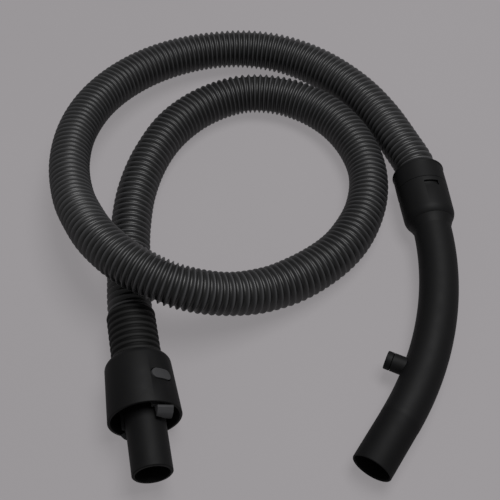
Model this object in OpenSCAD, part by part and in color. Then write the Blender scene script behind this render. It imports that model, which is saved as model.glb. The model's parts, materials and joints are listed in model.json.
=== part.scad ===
// Vacuum cleaner hose lying on a table in a loop and a half, with its two end fittings:
// a push-in machine connector that swivels and has two release latches, and a curved handle
// tube that swivels in a snap-in collar and carries a relief vent knob.
// Millimetres, +Z up. The table is z = 0, and the origin lies midway between the outer edges
// of the rigid fittings, seen from above.

/* [Hose] */
// Outside diameter over the ribs
hose_od = 39; // [38:0.5:44]
// Depth of the groove between two ribs
rib_depth = 2; // [1:0.25:3]
// Wall left between a groove and the bore
hose_wall = 0.7; // [0.5:0.1:1.5]
// Number of ribs from end to end
rib_count = 200; // [80:1:200]
// Height of the hose's hump over its own first turn, above the lying hose
hump_rise = 46; // [44:1:60]
// Distance from the connector's barrel back to the hose's end
hose_seat = 10; // [8:0.5:12]
// Length of hose inside the handle's collar and socket
hose_entry = 29; // [27:0.5:31]

/* [Hose end nipples] */
// Length of nipple pushed into the hose
insert_len = 28; // [15:1:35]
// Wall of the nipple inside the hose
insert_wall = 2.1; // [1.5:0.1:2.5]
// Thickness of the flange that the hose butts against
nipple_flange = 3.5; // [2:0.5:6]
// Wall of the machine nipple's turning neck
neck_wall = 2.8; // [2.5:0.1:4]
// Length of the machine nipple's turning neck
machine_neck_len = 28; // [24:1:32]
// Length of the handle nipple's turning neck
handle_neck_len = 13.5; // [12:0.5:16]

/* [Swivel clips and seals] */
// Width of a retaining clip along the axis
clip_w = 1.8; // [1.4:0.1:2.2]
// Depth of a clip in the neck, and its height out of it
clip_bite = 1; // [0.7:0.1:1.2]
// Gap in a clip's ring, as an angle
clip_gap = 30; // [20:1:60]
// Thickness of a sealing ring
seal_w = 1.6; // [1.2:0.1:2]

/* [Strain relief cuff] */
// Length of the cuff outside the connector
cuff_len = 48; // [46:1:60]
// Wall of the cuff between its ribs
cuff_wall = 0.6; // [0.6:0.1:1.6]
// Height of a cuff rib
cuff_rib_h = 0.65; // [0.5:0.05:1.8]
// Distance from one cuff rib to the next
cuff_pitch = 6; // [5:0.5:8]

/* [Connector] */
// Length of the barrel
barrel_len = 54; // [52:1:66]
// Wall of the barrel
barrel_wall = 2.4; // [1.6:0.1:3]
// How much the barrel's radius grows from its shoulder to its mouth
barrel_flare = 2.4; // [2:0.1:4]
// Radius of the rounded rear shoulder
barrel_shoulder = 7; // [5:0.5:9]
// Thickness of the barrel's rear wall
rear_wall = 4; // [3:0.5:5]
// Outside diameter of the spigot that goes into the machine
spigot_d = 32.5; // [31:0.1:34]
// Wall of the spigot
spigot_wall = 2.4; // [1.8:0.1:3]
// Length of spigot in front of the barrel's mouth
spigot_reach = 47; // [35:1:60]
// Wall of the spigot's rear sleeve, in which the nipple turns
sleeve_wall = 2.3; // [2.1:0.1:2.8]

/* [Release latches] */
// Place of the right latch round the axis, from the top to the right as the mouth faces the eye
latch_angle = 41; // [0:1:90]
// Half of the angle that a latch covers
latch_half = 21; // [19:1:32]
// Thickness of a latch's arm
latch_arm = 2.8; // [2.2:0.1:3.4]
// Room between a latch's arm and the barrel
latch_room = 2.7; // [1:0.1:3.5]
// Width of the oval button, round the barrel
button_w = 18; // [16:0.5:24]
// Length of the oval button, along the barrel
button_l = 9.3; // [8:0.1:14]
// Place of the button's middle, from the barrel's rear end
button_u = 27.8; // [25:0.2:34]
// Height of the button above the barrel
button_proud = 0.8; // [0.4:0.1:1.2]
// Reach of the hook in front of the mouth
hook_reach = 11; // [7:0.5:12]
// Height of the hook above the arm, in its middle
hook_h = 4.7; // [2:0.1:5.2]
// Width of the hook's nose
nose_w = 13.2; // [10:0.2:15]
// How far the nose's flat top is turned from the arm's
nose_turn = 18; // [0:1:22]
// Diameter of a latch's hinge pin
pin_d = 2; // [1.5:0.1:2.4]

/* [Handle] */
// Outside diameter of the handle's tube, where the wand goes on
tube_d = 34.4; // [34:0.1:36]
// Wall of the tube
tube_wall = 2; // [1.6:0.1:2.4]
// How much thicker the bend is than the tube's two ends, at the radius
bend_step = 0.15; // [0.1:0.05:0.6]
// Radius of the bend, at the tube's middle
bend_radius = 300; // [240:2:340]
// Angle of the bend
bend_angle = 39.4; // [30:0.1:45]
// Straight length of the tube's end
end_len = 46.5; // [45:0.5:70]
// Length of the socket with its collar
socket_len = 59; // [57:1:74]
// Wall of the socket round the collar's skirt
socket_wall = 2.4; // [1:0.1:3]
// How much the socket's radius grows towards the tube, below 0 where it shrinks
socket_swell = -0.5; // [-1:0.1:1]
// Length of the socket's rounded end
socket_crown = 8; // [5:0.5:9]
// Radius of the socket's rounded end
socket_round = 12.2; // [11.5:0.1:21]
// Length of the cone from the socket to the tube
shoulder_len = 10; // [5:0.5:14]
// Length of the collar in front of the socket
collar_len = 20.7; // [14:0.1:22]
// Length of the collar's skirt inside the socket
skirt_len = 12.5; // [11:0.5:13]
// Wall of the collar's skirt
skirt_wall = 1.4; // [0.6:0.1:2]
// Height of the bead round the collar's rim
bead_h = 0.6; // [0.4:0.1:1.4]
// Width of a snap window in the socket
window_w = 13.7; // [8:0.1:16]
// Length of a snap window along the axis
window_l = 5.3; // [4:0.1:6]
// Depth of a snap tab below the socket's outside
tab_sunk = 1.5; // [0.3:0.1:1.8]

/* [Relief vent] */
// Place of the vent along the bend, as an angle
vent_angle = 30; // [18:0.5:32]
// Diameter of the vent's boss and knob
vent_d = 16; // [14:0.1:18]
// Height of the boss above the tube
boss_h = 9.6; // [8:0.1:11]
// Thickness of the knob's cap
cap_h = 5.4; // [4:0.1:6]
// Diameter of the knob's stem
stem_d = 3.6; // [3:0.1:4]
// Diameter of the air port in the valve disc and under it
port_d = 2.4; // [1.6:0.1:2.6]

/* [Hidden] */

$fn = 64;
hose_sides = 8;
rings_per_rib = 2;
bore_ring_step = 5;
span_steps = 8;
coil_sides = 6;
coil_rings = 8;

// Places on the table: the barrel's rear end and the collar's rim, with the way each one faces
connector_xy = [-127.9, -53.3];
connector_yaw = 11.2;
handle_xy = [127.7, 152.4];
handle_yaw = 6.2;

// Points that the hose's middle passes, as x, y and height above the lying hose
route = [
    [-143, 45, 1], [-145, 90, 0], [-142.5, 134, 0], [-131.5, 177.5, 0], [-111, 217.5, 0],
    [-79, 248, 0], [-39, 264.5, 0], [5, 259.5, 0], [44, 235.5, 0], [69.5, 199, 0], [80.5, 157, 0],
    [74.5, 113, 0], [53.5, 72.5, 0], [22, 43, 1], [-16, 20, 7], [-56, 5, 22], [-97, 2.5, 39],
    [-135, 18.5, 46], [-163.5, 44.5, 45], [-181.5, 73, 40], [-195, 104, 34], [-203.5, 145, 29],
    [-202, 190, 24], [-188, 234, 19], [-162.5, 272, 14], [-127.5, 301.5, 10], [-85, 321.5, 6],
    [-40, 329, 3], [2, 322.5, 1], [40, 302.5, 0], [73, 271, 0], [98, 233, 1], [115, 192, 4]];
route_hump = 46;

// Clearances
floor_gap = 0.2;
face_gap = 0.05;
insert_gap = 0.25;
cuff_gap = 0.2;
turn_gap = 0.08;
pass_gap = 0.6;
end_gap = 0.6;
clip_gap_side = 0.4;
clip_gap_top = 0.35;
groove_gap = 0.1;
seat_gap = 0.05;
pin_gap = 0.05;
hinge_gap = 0.3;
window_gap = 0.8;
tab_gap = 0.3;
spring_gap = 0.1;
edge = 0.8;
over = 1;

// Hose
hose_r = hose_od / 2;
groove_r = hose_r - rib_depth;
bore_corner_r = groove_r - hose_wall;
bore_r = bore_corner_r * cos(180 / hose_sides);
hose_lie_z = hose_r + floor_gap;

// Nipples
insert_r = bore_r - insert_gap;
insert_run = min(insert_len, hose_entry - 1, cuff_len - hose_seat - 1);
airway_r = insert_r - insert_wall;
neck_r = airway_r + neck_wall;
seal_groove_r = seal_w;

// Cuff
cuff_bore_r = hose_r + cuff_gap;
cuff_groove_r = cuff_bore_r + cuff_wall;
cuff_round = cuff_pitch / 2 - 0.3;
cuff_collar_r = cuff_groove_r + cuff_rib_h / 2;
cuff_ribs = floor(cuff_len / cuff_pitch);
cuff_end_u = rear_wall - end_gap;
hose_start_u = -hose_seat;

// Connector, measured along its axis from the barrel's rear end
nipple_neck_u = hose_start_u + nipple_flange;
neck_end_u = nipple_neck_u + machine_neck_len;
sleeve_bore_r = neck_r + turn_gap;
sleeve_r = sleeve_bore_r + sleeve_wall;
sleeve_floor = 2;
sleeve_end_u = neck_end_u + end_gap + sleeve_floor;
machine_seal_u = neck_end_u - 2.5;
machine_clip_u = machine_seal_u - 7;
swing_gap = 1.5;
latch_in_r = sleeve_r + swing_gap;
latch_out_r = latch_in_r + latch_arm;
barrel_in_r = latch_out_r + latch_room;
barrel_rear_r = barrel_in_r + barrel_wall;
mouth_r = barrel_rear_r + barrel_flare;
mouth_in_r = mouth_r - barrel_wall;
mouth_edge = 0.6;
rear_hole_r = cuff_collar_r + clip_gap_side;
flange_t = 4;
flange_end_u = rear_wall + flange_t;
spigot_r = spigot_d / 2;
spigot_bore_r = spigot_r - spigot_wall;
spigot_end_u = barrel_len + spigot_reach;
connector_tilt = atan(barrel_flare / (barrel_len - barrel_shoulder));
connector_z = mouth_r * cos(connector_tilt) - barrel_len * sin(connector_tilt);

// Latches
latch_angles = [latch_angle, latch_angle + 180];
pin_r = pin_d / 2;
hub_r = pin_r + 1;
hub_half = 5;
ear_t = 2.7;
ear_wall = 1.3;
pivot_r = (latch_in_r + latch_out_r) / 2;
pivot_u = flange_end_u + hub_r + 3;
arm_start_u = pivot_u + hub_r + 2;
catch_u = barrel_len + 1;
hook_r = latch_out_r + hook_h;
hook_flat = 2.5;
hook_end_u = barrel_len + hook_reach;
hook_tip_r = latch_in_r + 1.6;
nose_gap = 0.4;
latch_spring_u = button_u + 5;
latch_spring_r = 2.6;
spring_wire_r = 0.3;
latch_spring_turns = 1.5;
spring_pad_r = latch_spring_r + 1;
root_r = spigot_r + 0.4;
root_taper = 1.2;
root_end_u = max(latch_spring_u + spring_pad_r + 0.3, sleeve_end_u + 1.8) + root_taper;
spring_seat_r = root_r + 0.35;
spring_reach_r = latch_spring_r + spring_wire_r;
spring_top_r = sqrt(latch_in_r^2 - spring_reach_r^2);

// Handle, measured along the socket's axis from the collar's rim
tube_r = tube_d / 2;
tube_bore_r = tube_r - tube_wall;
bend_r = tube_r + bend_step;
bend_bore_r = bend_r - tube_wall;
collar_bore_r = hose_r + pass_gap;
skirt_r = collar_bore_r + skirt_wall;
socket_bore_r = skirt_r + groove_gap;
socket_r = socket_bore_r + socket_wall;
socket_wide_r = socket_r + socket_swell;
collar_r = socket_r;
skirt_end_t = collar_len + skirt_len;
hose_end_t = hose_entry;
handle_neck_t = hose_end_t + nipple_flange;
socket_floor_t = max(handle_neck_t + clip_gap_side, skirt_end_t + groove_gap);
handle_neck_end_t = handle_neck_t + handle_neck_len;
tube_start_t = handle_neck_end_t + end_gap;
neck_bore_r = tube_r + seat_gap;
handle_neck_r = neck_bore_r - turn_gap;
handle_seal_t = handle_neck_end_t - 2.6;
handle_clip_t = handle_seal_t - 5.5;
socket_wide_t = socket_len - socket_crown;
shoulder_r = socket_wide_r - socket_round + sqrt(socket_round^2 - socket_crown^2);
bead_round = 1.6;
window_t = collar_len + 4.9;
window_angles = [9, 129, 249];
bend_reach = bend_radius * sin(bend_angle);
end_reach = socket_len + bend_reach + end_len * cos(bend_angle);
handle_tilt = asin((socket_wide_r - tube_r) / (end_reach - socket_wide_t));
handle_z = tube_r + end_reach * sin(handle_tilt);

// Vent, measured from the tube's middle outwards
vent_r = vent_d / 2;
boss_top = bend_r + boss_h;
cap_gap = 0.3;
cap_base = boss_top + cap_gap;
cap_top = cap_base + cap_h;
stem_r = stem_d / 2;
pocket_r = vent_r - 2.5;
pocket_floor = bend_r + 1.4;
vent_seat = bend_bore_r - 0.9;
vent_seat_r = 5;
disc_r = pocket_r - hinge_gap;
disc_t = 1.2;
disc_base = pocket_floor + groove_gap;
port_r = port_d / 2;
port_at = (stem_r + disc_r) / 2;
port_turn = 90;
vent_clip_t = 0.6;
vent_clip_base = vent_seat - hinge_gap - vent_clip_t;
stem_end = vent_clip_base - 0.6;
vent_spring_base = disc_base + disc_t + spring_gap;
vent_spring_r = port_at;
vent_spring_turns = 5;

connector_dir = [
    sin(connector_yaw) * cos(connector_tilt),
    -cos(connector_yaw) * cos(connector_tilt),
    sin(connector_tilt)];
handle_dir = [
    sin(handle_yaw) * cos(handle_tilt),
    -cos(handle_yaw) * cos(handle_tilt),
    -sin(handle_tilt)];

function connector_point(u) = [connector_xy.x, connector_xy.y, connector_z] + u * connector_dir;
function handle_point(t) = [handle_xy.x, handle_xy.y, handle_z] + t * handle_dir;

module at_connector() {
    translate(connector_point(0)) rotate([90 - connector_tilt, 0, connector_yaw]) children();
}

module at_latch(angle) {
    at_connector() rotate([0, 0, -angle]) children();
}

module at_handle() {
    translate(handle_point(0)) rotate([90 + handle_tilt, 0, handle_yaw]) children();
}

// A place on the bend: Z along the tube, X away from the bend's centre
module at_bend(angle) {
    translate([-bend_radius, 0, socket_len]) rotate([90, 0, 0]) rotate([0, 0, angle])
        translate([bend_radius, 0, 0]) rotate([-90, 0, 0]) children();
}

// The vent's axis: Z from the tube's middle towards the inside of the bend
module at_vent() {
    at_handle() at_bend(vent_angle) rotate([0, -90, 0]) children();
}

// Smooth curve through the route, tangent to both fittings at its ends
function unit(v) = v / norm(v);
function hermite(p, q, a, b, t) =
    (2 * t^3 - 3 * t^2 + 1) * p + (t^3 - 2 * t^2 + t) * a
    + (3 * t^2 - 2 * t^3) * q + (t^3 - t^2) * b;

cuff_mouth = connector_point(-cuff_len);
collar_mouth = handle_point(0);
free_points = [
    for (p = route) [p.x, p.y, hose_lie_z + p.z * hump_rise / route_hump]];
knots = concat([cuff_mouth], free_points, [collar_mouth]);
last_knot = len(knots) - 1;
function knot_tangent(i) =
    i == 0 ? -connector_dir * norm(knots[1] - knots[0])
    : i == last_knot ? handle_dir * norm(knots[i] - knots[i - 1])
    : (knots[i + 1] - knots[i - 1]) / 2;

middle_line = concat(
    [connector_point(hose_start_u)],
    [for (i = [0 : last_knot - 1], k = [0 : span_steps - 1])
        hermite(knots[i], knots[i + 1], knot_tangent(i), knot_tangent(i + 1), k / span_steps)],
    [collar_mouth, handle_point(hose_end_t)]);
last_sample = len(middle_line) - 1;
run = [
    for (i = 0, s = 0; i <= last_sample;
        s = s + (i < last_sample ? norm(middle_line[i + 1] - middle_line[i]) : 0), i = i + 1) s];
hose_len = run[last_sample];
table_x = [for (i = [0 : last_sample]) [run[i], middle_line[i].x]];
table_y = [for (i = [0 : last_sample]) [run[i], middle_line[i].y]];
table_z = [for (i = [0 : last_sample]) [run[i], middle_line[i].z]];
function hose_middle(s) = [lookup(s, table_x), lookup(s, table_y), lookup(s, table_z)];
function hose_way(s) =
    unit(hose_middle(min(s + 1, hose_len)) - hose_middle(max(s - 1, 0)));

// One ring of points round the hose's middle
function hose_ring(s, r) =
    let (way = hose_way(s), side = unit(cross(way, [0, 0, 1])), up = cross(side, way))
    [for (k = [0 : hose_sides - 1])
        hose_middle(s) + r * (cos(360 * k / hose_sides) * side + sin(360 * k / hose_sides) * up)];

// Least gap from the hose to itself, between places further apart along it than three diameters
gap_step = 6;
gap_places = [for (s = [0 : gap_step : hose_len]) hose_middle(s)];
gap_skip = ceil(3 * hose_od / gap_step);
self_gap = min([
    for (i = [0 : len(gap_places) - 1 - gap_skip])
        min([for (j = [i + gap_skip : len(gap_places) - 1]) norm(gap_places[j] - gap_places[i])])])
    - hose_od;
echo(hose_length = hose_len, least_gap_to_itself = self_gap);

function flat(rings) = [for (ring = rings) each ring];

// Side faces between rings that follow each other in a point list
function wall_faces(first, rings, sides, inward) =
    [for (i = [0 : rings - 2], k = [0 : sides - 1])
        let (a = first + i * sides + k, b = first + i * sides + (k + 1) % sides,
            c = a + sides, d = b + sides)
        each inward ? [[a, c, b], [b, c, d]] : [[a, b, c], [b, d, c]]];

// End faces of a tube, from its outer ring to its bore ring
function rim_faces(outer, inner, sides, back) =
    [for (k = [0 : sides - 1])
        let (n = (k + 1) % sides)
        each back
            ? [[outer + k, inner + k, outer + n], [outer + n, inner + k, inner + n]]
            : [[outer + k, outer + n, inner + k], [outer + n, inner + n, inner + k]]];

module hose() {
    rings = rings_per_rib * rib_count + 1;
    bore_rings = (rings - 1) / bore_ring_step + 1;
    outer = [for (i = [0 : rings - 1])
        hose_ring(i * hose_len / (rings - 1), i % rings_per_rib == 0 ? groove_r : hose_r)];
    bore = [for (i = [0 : bore_rings - 1])
        hose_ring(i * hose_len / (bore_rings - 1), bore_corner_r)];
    first_bore = rings * hose_sides;
    last_outer = first_bore - hose_sides;
    last_bore = first_bore + (bore_rings - 1) * hose_sides;
    color("dimgray")
        polyhedron(
            points = concat(flat(outer), flat(bore)),
            faces = concat(
                wall_faces(0, rings, hose_sides, false),
                wall_faces(first_bore, bore_rings, hose_sides, true),
                rim_faces(0, first_bore, hose_sides, true),
                rim_faces(last_outer, last_bore, hose_sides, false)));
}

// A coil spring standing on z = 0
module coil(middle_r, wire_r, turns, height) {
    steps = ceil(turns * coil_rings);
    rise = height - 2 * wire_r;
    rings = [for (i = [0 : steps])
        let (a = 360 * turns * i / steps, out = [cos(a), sin(a), 0],
            way = unit([-sin(a), cos(a), rise / (2 * PI * middle_r * turns)]),
            up = cross(out, way))
        [for (k = [0 : coil_sides - 1])
            middle_r * out + [0, 0, wire_r + rise * i / steps]
            + wire_r * (cos(360 * k / coil_sides) * out + sin(360 * k / coil_sides) * up)]];
    last = steps * coil_sides;
    polyhedron(
        points = flat(rings),
        faces = concat(
            wall_faces(0, steps + 1, coil_sides, false),
            [for (k = [1 : coil_sides - 2]) [0, k + 1, k]],
            [for (k = [1 : coil_sides - 2]) [last, last + k, last + k + 1]]));
}

// A flat oval with round ends, standing on z = 0
module oval(w, l, h) {
    linear_extrude(h) {
        square([w - l, l], center = true);
        for (side = [-1, 1]) translate([side * (w - l) / 2, 0]) circle(l / 2);
    }
}

// A split ring round the axis
module split_ring(in_r, out_r, h) {
    rotate([0, 0, clip_gap / 2]) rotate_extrude(angle = 360 - clip_gap)
        translate([in_r, 0]) square([out_r - in_r, h]);
}

module seal_ring(groove_bottom) {
    rotate_extrude() translate([groove_bottom + seal_w / 2, 0]) circle(seal_w / 2);
}

// Rings cut into a neck for its clip and its seal
module neck_grooves(r, clip_at, seal_at) {
    translate([r - clip_bite - groove_gap, clip_at - groove_gap])
        square([clip_bite + groove_gap + over, clip_w + 2 * groove_gap]);
    translate([r - seal_groove_r, seal_at - seal_w / 2 - groove_gap])
        square([seal_groove_r + over, seal_w + 2 * groove_gap]);
}

module strain_relief_cuff() {
    color("#1c1c1d") at_connector() rotate_extrude() difference() {
        union() {
            translate([0, -cuff_len]) square([cuff_groove_r, cuff_len + cuff_end_u]);
            square([cuff_collar_r, cuff_end_u]);
            for (i = [0 : cuff_ribs - 1])
                translate([
                    cuff_groove_r + cuff_rib_h - cuff_round,
                    -cuff_len + (i + 0.5) * cuff_pitch])
                    circle(cuff_round);
        }
        translate([-cuff_round, -cuff_len - over])
            square([cuff_bore_r + cuff_round, cuff_len + cuff_end_u + 2 * over]);
    }
}

module machine_nipple() {
    color("#2b2b2c") at_connector() rotate_extrude() difference() {
        union() {
            translate([airway_r, hose_start_u - insert_run])
                square([insert_wall, insert_run + over]);
            translate([airway_r, hose_start_u + face_gap])
                square([hose_r - airway_r, nipple_flange - face_gap]);
            translate([airway_r, nipple_neck_u]) square([neck_wall, machine_neck_len]);
        }
        neck_grooves(neck_r, machine_clip_u, machine_seal_u);
    }
}

module machine_swivel_clip() {
    color("silver") at_connector() translate([0, 0, machine_clip_u])
        split_ring(neck_r - clip_bite, neck_r + clip_bite, clip_w);
}

module machine_seal_ring() {
    color("#141414") at_connector() translate([0, 0, machine_seal_u])
        seal_ring(neck_r - seal_groove_r);
}

module barrel_profile() {
    difference() {
        union() {
            polygon([
                [0, barrel_shoulder], [barrel_rear_r, barrel_shoulder],
                [mouth_r, barrel_len - mouth_edge], [mouth_r - mouth_edge, barrel_len],
                [0, barrel_len]]);
            translate([barrel_rear_r - barrel_shoulder, barrel_shoulder]) circle(barrel_shoulder);
        }
        translate([0, -over]) square([rear_hole_r, barrel_len]);
        polygon([
            [0, rear_wall], [barrel_in_r, rear_wall], [mouth_in_r, barrel_len + over],
            [0, barrel_len + over]]);
    }
}

module connector_barrel() {
    color("#1b1b1c") at_connector() difference() {
        rotate_extrude() barrel_profile();
        for (angle = latch_angles)
            rotate([0, 0, -angle]) translate([0, 0, button_u]) rotate([-90, 0, 0])
                oval(button_w + 2 * window_gap, button_l + 2 * window_gap, mouth_r + over);
    }
}

module spigot_profile() {
    difference() {
        polygon([
            [sleeve_bore_r, rear_wall], [barrel_in_r - seat_gap, rear_wall],
            [barrel_in_r - seat_gap, flange_end_u], [sleeve_r, flange_end_u],
            [sleeve_r, sleeve_end_u], [root_r, sleeve_end_u], [root_r, root_end_u - root_taper],
            [spigot_r, root_end_u], [spigot_r, spigot_end_u - edge],
            [spigot_r - edge, spigot_end_u], [spigot_bore_r, spigot_end_u],
            [spigot_bore_r, sleeve_end_u - sleeve_floor],
            [sleeve_bore_r, sleeve_end_u - sleeve_floor]]);
        translate([sleeve_bore_r - over, machine_clip_u - clip_gap_side])
            square([clip_bite + clip_gap_top - turn_gap + over, clip_w + 2 * clip_gap_side]);
    }
}

// The two ears that hold a latch's pin
module latch_ears() {
    intersection() {
        for (side = [-1, 1])
            translate([side * (hub_half + hinge_gap + ear_t / 2), pivot_r, flange_end_u - over])
                translate([-ear_t / 2, sleeve_bore_r + over - pivot_r, 0])
                cube([ear_t, pivot_r + pin_r + ear_wall - sleeve_bore_r - over,
                    pivot_u + pin_r + ear_wall - flange_end_u + over]);
        difference() {
            cylinder(r = barrel_in_r - seat_gap, h = barrel_len);
            translate([0, 0, -over]) cylinder(r = sleeve_bore_r + over / 2, h = barrel_len + 2 * over);
        }
    }
}

module latch_axle(r, half) {
    translate([-half, pivot_r, pivot_u]) rotate([0, 90, 0]) cylinder(r = r, h = 2 * half);
}

pin_half = hub_half + hinge_gap + ear_t;

module spigot_tube() {
    color("#1e1e1f") at_connector() difference() {
        union() {
            rotate_extrude() spigot_profile();
            for (angle = latch_angles) rotate([0, 0, -angle]) {
                latch_ears();
                translate([0, spigot_bore_r + edge, latch_spring_u]) rotate([-90, 0, 0])
                    cylinder(r = spring_pad_r, h = spring_seat_r - spigot_bore_r - edge);
            }
        }
        for (angle = latch_angles) rotate([0, 0, -angle]) latch_axle(pin_r, pin_half + over);
    }
}

// A latch's hook: a nose with a flat top, in front of the mouth
module latch_nose(hand) {
    difference() {
        translate([0, hook_r, 0]) rotate([0, 0, hand * nose_turn]) rotate([90, 0, 90])
            translate([0, 0, -nose_w / 2]) linear_extrude(nose_w) polygon([
                [0, catch_u], [0, catch_u + hook_flat], [hook_tip_r - hook_r, hook_end_u],
                [latch_in_r - hook_r - over, hook_end_u], [latch_in_r - hook_r - over, catch_u]]);
        cylinder(r = latch_in_r + nose_gap, h = hook_end_u + over);
    }
}

// Hand is 1 for the right latch and -1 for the left one, which is its mirror image
module latch(angle, hand) {
    color("#6a6a6c") at_latch(angle) difference() {
        union() {
            rotate([0, 0, 90 - latch_half]) rotate_extrude(angle = 2 * latch_half)
                translate([latch_in_r, arm_start_u])
                square([latch_arm, catch_u + hook_flat - over / 2 - arm_start_u]);
            latch_nose(hand);
            intersection() {
                translate([0, 0, button_u]) rotate([-90, 0, 0])
                    oval(button_w, button_l, mouth_r + 2 * over);
                difference() {
                    translate([0, 0, barrel_shoulder])
                        cylinder(
                            r1 = barrel_rear_r + button_proud, r2 = mouth_r + button_proud,
                            h = barrel_len - barrel_shoulder);
                    cylinder(r = pivot_r, h = barrel_len + over);
                }
            }
            latch_axle(hub_r, hub_half);
            translate([-hub_half, pivot_r - hub_r / 2, pivot_u])
                cube([2 * hub_half, hub_r, arm_start_u - pivot_u + over]);
        }
        latch_axle(pin_r + pin_gap, hub_half + over);
    }
}

module latch_pin(angle) {
    color("silver") at_latch(angle) latch_axle(pin_r, pin_half);
}

module latch_spring(angle) {
    color("gainsboro") at_latch(angle)
        translate([0, spring_seat_r + spring_gap, latch_spring_u]) rotate([-90, 0, 0])
        coil(latch_spring_r, spring_wire_r, latch_spring_turns,
            spring_top_r - spring_seat_r - 2 * spring_gap);
}

module handle_nipple() {
    color("#2b2b2c") at_handle() rotate_extrude() difference() {
        union() {
            translate([airway_r, hose_end_t - insert_run])
                square([insert_wall, insert_run + over]);
            translate([airway_r, hose_end_t + face_gap])
                square([hose_r - airway_r, nipple_flange - face_gap]);
            translate([airway_r, handle_neck_t])
                square([handle_neck_r - airway_r, handle_neck_len]);
        }
        neck_grooves(handle_neck_r, handle_clip_t, handle_seal_t);
    }
}

module handle_swivel_clip() {
    color("silver") at_handle() translate([0, 0, handle_clip_t])
        split_ring(handle_neck_r - clip_bite, handle_neck_r + clip_bite, clip_w);
}

module handle_seal_ring() {
    color("#141414") at_handle() translate([0, 0, handle_seal_t])
        seal_ring(handle_neck_r - seal_groove_r);
}

// A block on the socket's wall, over one snap window
module window_block(angle, gap, in_r, out_r) {
    rotate([0, 0, -angle])
        translate([-window_w / 2 + gap, in_r, window_t + gap])
        cube([window_w - 2 * gap, out_r - in_r, window_l - 2 * gap]);
}

module swivel_collar() {
    color("#19191a") at_handle() difference() {
        union() {
            rotate_extrude() union() {
                translate([0, bead_round]) square([collar_r, collar_len - bead_round]);
                square([collar_r + bead_h - bead_round, bead_round]);
                translate([collar_r + bead_h - bead_round, bead_round]) circle(bead_round);
                square([skirt_r, skirt_end_t]);
            }
            intersection() {
                for (angle = window_angles)
                    window_block(angle, tab_gap, collar_bore_r / 2, socket_wide_r + over);
                cylinder(r = socket_r - tab_sunk, h = skirt_end_t);
            }
        }
        translate([0, 0, -over]) cylinder(r = collar_bore_r, h = skirt_end_t + 2 * over);
    }
}

module socket_profile() {
    difference() {
        union() {
            polygon([
                [0, collar_len + groove_gap], [socket_r - tab_gap, collar_len + groove_gap],
                [socket_r, collar_len + groove_gap + tab_gap], [socket_wide_r, socket_wide_t],
                [0, socket_wide_t]]);
            intersection() {
                translate([socket_wide_r - socket_round, socket_wide_t]) circle(socket_round);
                translate([0, socket_wide_t]) square([socket_wide_r, socket_crown]);
            }
        }
        square([socket_bore_r, skirt_end_t + groove_gap]);
        square([collar_bore_r, socket_floor_t]);
        square([neck_bore_r, socket_len + over]);
        translate([neck_bore_r - over, handle_clip_t - clip_gap_side])
            square([clip_bite + clip_gap_top - turn_gap + over, clip_w + 2 * clip_gap_side]);
    }
}

module handle_socket() {
    color("#1d1d1e") at_handle() difference() {
        rotate_extrude() socket_profile();
        for (angle = window_angles)
            window_block(angle, 0, collar_bore_r / 2, socket_wide_r + over);
    }
}

// The tube's run, from inside the socket to its end, with its ends' radius and its bend's
module tube_run(end_r, mid_r, spare) {
    translate([0, 0, tube_start_t - spare])
        cylinder(r = end_r, h = socket_len - tube_start_t + spare + over);
    translate([-bend_radius, 0, socket_len]) rotate([90, 0, 0]) rotate_extrude(angle = bend_angle)
        translate([bend_radius, 0]) circle(mid_r);
    at_bend(bend_angle) translate([0, 0, -over]) cylinder(r = end_r, h = end_len + spare + over);
}

module handle_tube() {
    color("#1d1d1e") at_handle() difference() {
        union() {
            difference() {
                union() {
                    tube_run(tube_r, bend_r, 0);
                    translate([0, 0, socket_len + face_gap])
                        cylinder(r1 = shoulder_r, r2 = bend_r - bend_step - edge, h = shoulder_len);
                    at_bend(vent_angle) rotate([0, -90, 0]) cylinder(r = vent_r, h = boss_top);
                }
                tube_run(tube_bore_r, bend_bore_r, over);
            }
            at_bend(vent_angle) rotate([0, -90, 0]) translate([0, 0, vent_seat])
                cylinder(r = vent_seat_r, h = pocket_floor - vent_seat);
        }
        at_bend(vent_angle) rotate([0, -90, 0]) {
            translate([0, 0, pocket_floor]) cylinder(r = pocket_r, h = boss_top);
            cylinder(r = stem_r + turn_gap, h = boss_top);
            rotate([0, 0, port_turn]) translate([port_at, 0, 0]) cylinder(r = port_r, h = boss_top);
        }
    }
}

module vent_knob() {
    color("#222223") at_vent() difference() {
        rotate_extrude() {
            translate([0, stem_end]) square([stem_r, cap_base - stem_end + over]);
            difference() {
                union() {
                    translate([0, cap_base]) square([vent_r, cap_h - edge]);
                    translate([0, cap_base]) square([vent_r - edge, cap_h]);
                    translate([vent_r - edge, cap_top - edge]) circle(edge);
                }
                translate([-over, 0]) square([over, cap_top + over]);
            }
        }
        for (turn = [0 : port_turn : 359])
            rotate([0, 0, turn]) translate([port_at, 0, cap_base - over])
                cylinder(r = port_r / 2, h = cap_h + 2 * over);
    }
}

module vent_spring() {
    color("gainsboro") at_vent() translate([0, 0, vent_spring_base])
        coil(vent_spring_r, spring_wire_r, vent_spring_turns,
            cap_base - vent_spring_base - spring_gap);
}

module vent_valve_disc() {
    color("#141414") at_vent() translate([0, 0, disc_base]) difference() {
        cylinder(r = disc_r, h = disc_t);
        translate([0, 0, -over]) cylinder(r = stem_r + seat_gap, h = disc_t + 2 * over);
        translate([port_at, 0, -over]) cylinder(r = port_r, h = disc_t + 2 * over);
    }
}

module vent_clip() {
    color("silver") at_vent() translate([0, 0, vent_clip_base])
        split_ring(stem_r + seat_gap, stem_r + 1.2, vent_clip_t);
}

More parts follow.
